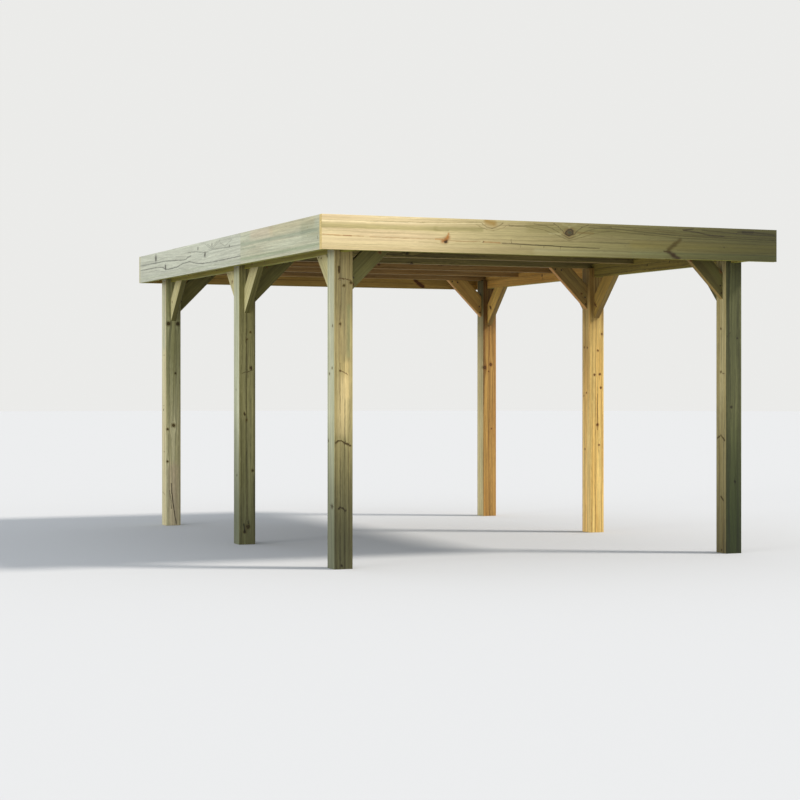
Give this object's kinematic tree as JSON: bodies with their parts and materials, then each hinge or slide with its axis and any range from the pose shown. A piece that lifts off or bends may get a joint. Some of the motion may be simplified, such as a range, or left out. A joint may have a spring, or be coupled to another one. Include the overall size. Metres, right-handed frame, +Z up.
{
  "type": "timber carport",
  "caption": "Open flat-roofed timber carport: square posts with forked tops, corner braces, notched rafters, a deep fascia all round and ribbed roof sheets.",
  "frame": {"origin": "on the ground, at the middle of the roof's outline", "axes": "+X to the right across the front, +Y from front to back along the sides, +Z up"},
  "size_m": [3.72, 4.95, 2.495],
  "materials": {
    "post_timber": "planed, pressure treated softwood, greenish tan with small knots",
    "fascia_timber": "planed, pressure treated softwood, pale straw to grey green, long grain",
    "frame_timber": "planed softwood, warm brown, seen from below",
    "brace_timber": "planed softwood, cut ends show end grain",
    "roof_sheet": "plain grey coated steel sheet, ribbed, satin"
  },
  "bodies": {
    "root": {"cross_brace_back_left": "brace_timber", "cross_brace_back_right": "brace_timber", "cross_brace_front_left": "brace_timber", "cross_brace_front_right": "brace_timber", "cross_brace_middle_left": "brace_timber", "cross_brace_middle_right": "brace_timber", "fascia_back": "fascia_timber", "fascia_front": "fascia_timber", "fascia_left_back": "fascia_timber", "fascia_left_front": "fascia_timber", "fascia_right_back": "fascia_timber", "fascia_right_front": "fascia_timber", "header_left_1": "frame_timber", "header_left_2": "frame_timber", "header_right_1": "frame_timber", "header_right_2": "frame_timber", "post_back_left": "post_timber", "post_back_right": "post_timber", "post_front_left": "post_timber", "post_front_right": "post_timber", "post_middle_left": "post_timber", "post_middle_right": "post_timber", "rafter_1": "frame_timber", "rafter_2": "frame_timber", "rafter_3": "frame_timber", "rafter_4": "frame_timber", "rafter_5": "frame_timber", "rafter_6": "frame_timber", "rafter_7": "frame_timber", "roof_sheet_1": "roof_sheet", "roof_sheet_2": "roof_sheet", "roof_sheet_3": "roof_sheet", "roof_sheet_4": "roof_sheet", "side_brace_back_left_forward": "brace_timber", "side_brace_back_right_forward": "brace_timber", "side_brace_front_left_rearward": "brace_timber", "side_brace_front_right_rearward": "brace_timber", "side_brace_middle_left_forward": "brace_timber", "side_brace_middle_left_rearward": "brace_timber", "side_brace_middle_right_forward": "brace_timber", "side_brace_middle_right_rearward": "brace_timber", "splice_left": "frame_timber", "splice_right": "frame_timber"}
  },
  "joints": []
}
